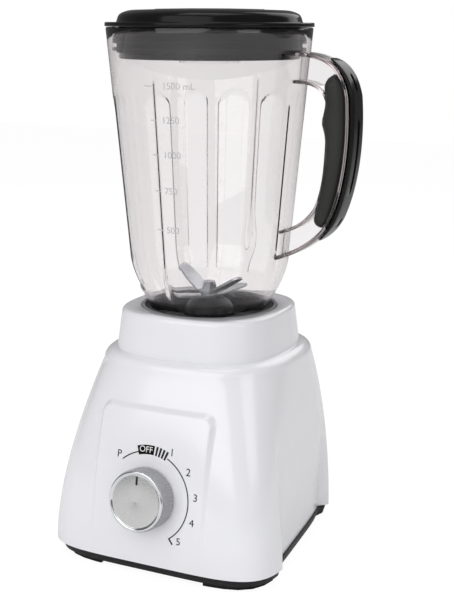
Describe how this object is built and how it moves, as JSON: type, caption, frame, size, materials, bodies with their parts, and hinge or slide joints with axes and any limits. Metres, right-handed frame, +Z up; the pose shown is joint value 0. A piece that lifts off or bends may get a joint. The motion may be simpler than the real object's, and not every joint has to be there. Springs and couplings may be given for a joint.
{
  "type": "countertop blender",
  "caption": "Countertop blender: flared motor base with a rotary speed knob, clear lift-off jug with a gripped handle and driven blades, and a plug lid with a filler cap.",
  "frame": {"origin": "the middle of the outline box, at the counter plane that the feet stand on; the drive axis stands at X = -0.012, Y = 0.0103", "axes": "+Z up, parallel to the drive axis, -Y out of the knob's side, +X towards the jug's handle"},
  "size_m": [0.196, 0.201, 0.3783],
  "materials": {
    "white_gloss": "glossy moulded ABS",
    "black_matte": "fine-textured moulded plastic",
    "black_gloss": "polished moulded plastic",
    "black_rubber": "soft matt rubber",
    "grey_rubber": "soft matt rubber",
    "seal_white": "silicone",
    "steel": "zinc plated",
    "blade_steel": "ground stainless steel",
    "bronze": "sintered bronze",
    "bracket_alloy": "die cast",
    "lamination": "stacked laminations",
    "winding": "enamelled copper wire",
    "carbon": "pressed carbon",
    "board": "circuit board",
    "fan_white": "moulded nylon",
    "knob_grey": "translucent knurled plastic",
    "knob_chrome": "bright chrome plate",
    "clear_plastic": "clear moulded plastic",
    "soft_grip": "overmoulded soft grip"
  },
  "bodies": {
    "base": {"housing": "white_gloss", "base_plate": "black_matte", "feet": "black_rubber", "base_screws": "steel", "socket_well": "black_matte", "seat_gasket": "grey_rubber", "shaft_seal": "black_rubber", "cord_gland": "black_rubber", "switch_body": "black_matte", "switch_nut": "steel", "wiring_board": "board", "board_screws": "steel", "stator": "lamination", "field_coils": "winding", "upper_bracket": "bracket_alloy", "lower_bracket": "bracket_alloy", "upper_bearing": "bronze", "lower_bearing": "bronze", "through_bolts": "steel", "motor_bushes": "black_rubber", "motor_screws": "steel", "brush_holders": "black_matte", "carbon_brushes": "carbon", "brush_springs": "steel"},
    "rotor": {"motor_shaft": "steel", "rotor_core": "lamination", "commutator": "winding", "fan": "fan_white", "drive_coupling": "black_matte"},
    "knob": {"switch_spindle": "steel", "knob_body": "knob_grey", "knob_cap": "knob_chrome"},
    "jug": {"jug": "clear_plastic", "grip_pad": "soft_grip", "handle_trim": "black_gloss", "jug_collar": "black_matte", "blade_gasket": "seal_white", "blade_carrier": "black_matte", "blade_bush": "bronze"},
    "blades": {"blade_shaft": "blade_steel", "blade_coupling": "black_rubber", "lower_blade": "blade_steel", "blade_spacer": "blade_steel", "upper_blade": "blade_steel", "blade_nut": "blade_steel"},
    "lid": {"lid": "black_gloss", "lid_gasket": "black_rubber"},
    "cap": {"filler_cap": "clear_plastic"}
  },
  "joints": [
    {"name": "motor_spin", "type": "hinge", "parent": "base", "child": "rotor", "pos_m": [-0.01196, 0.01029, 0.09], "axis": [0, 0, 1], "continuous": true},
    {"name": "blade_spin", "type": "hinge", "parent": "jug", "child": "blades", "pos_m": [-0.01196, 0.01029, 0.18], "axis": [0, 0, 1], "continuous": true},
    {"name": "jug_lift", "type": "slide", "parent": "base", "child": "jug", "axis": [0, 0, 1], "range_m": [0, 0.12]},
    {"name": "lid_lift", "type": "slide", "parent": "jug", "child": "lid", "axis": [0, 0, 1], "range_m": [0, 0.08]},
    {"name": "cap_lift", "type": "slide", "parent": "lid", "child": "cap", "axis": [0, 0, 1], "range_m": [0, 0.06]},
    {"name": "knob_turn", "type": "hinge", "parent": "base", "child": "knob", "pos_m": [-0.01196, -0.08153, 0.0573], "axis": [0, 0.9877, -0.1564], "range_deg": [-38, 145]}
  ],
  "couplings": [
    {"joint": "blade_spin", "follows": "motor_spin", "ratio": 1}
  ]
}
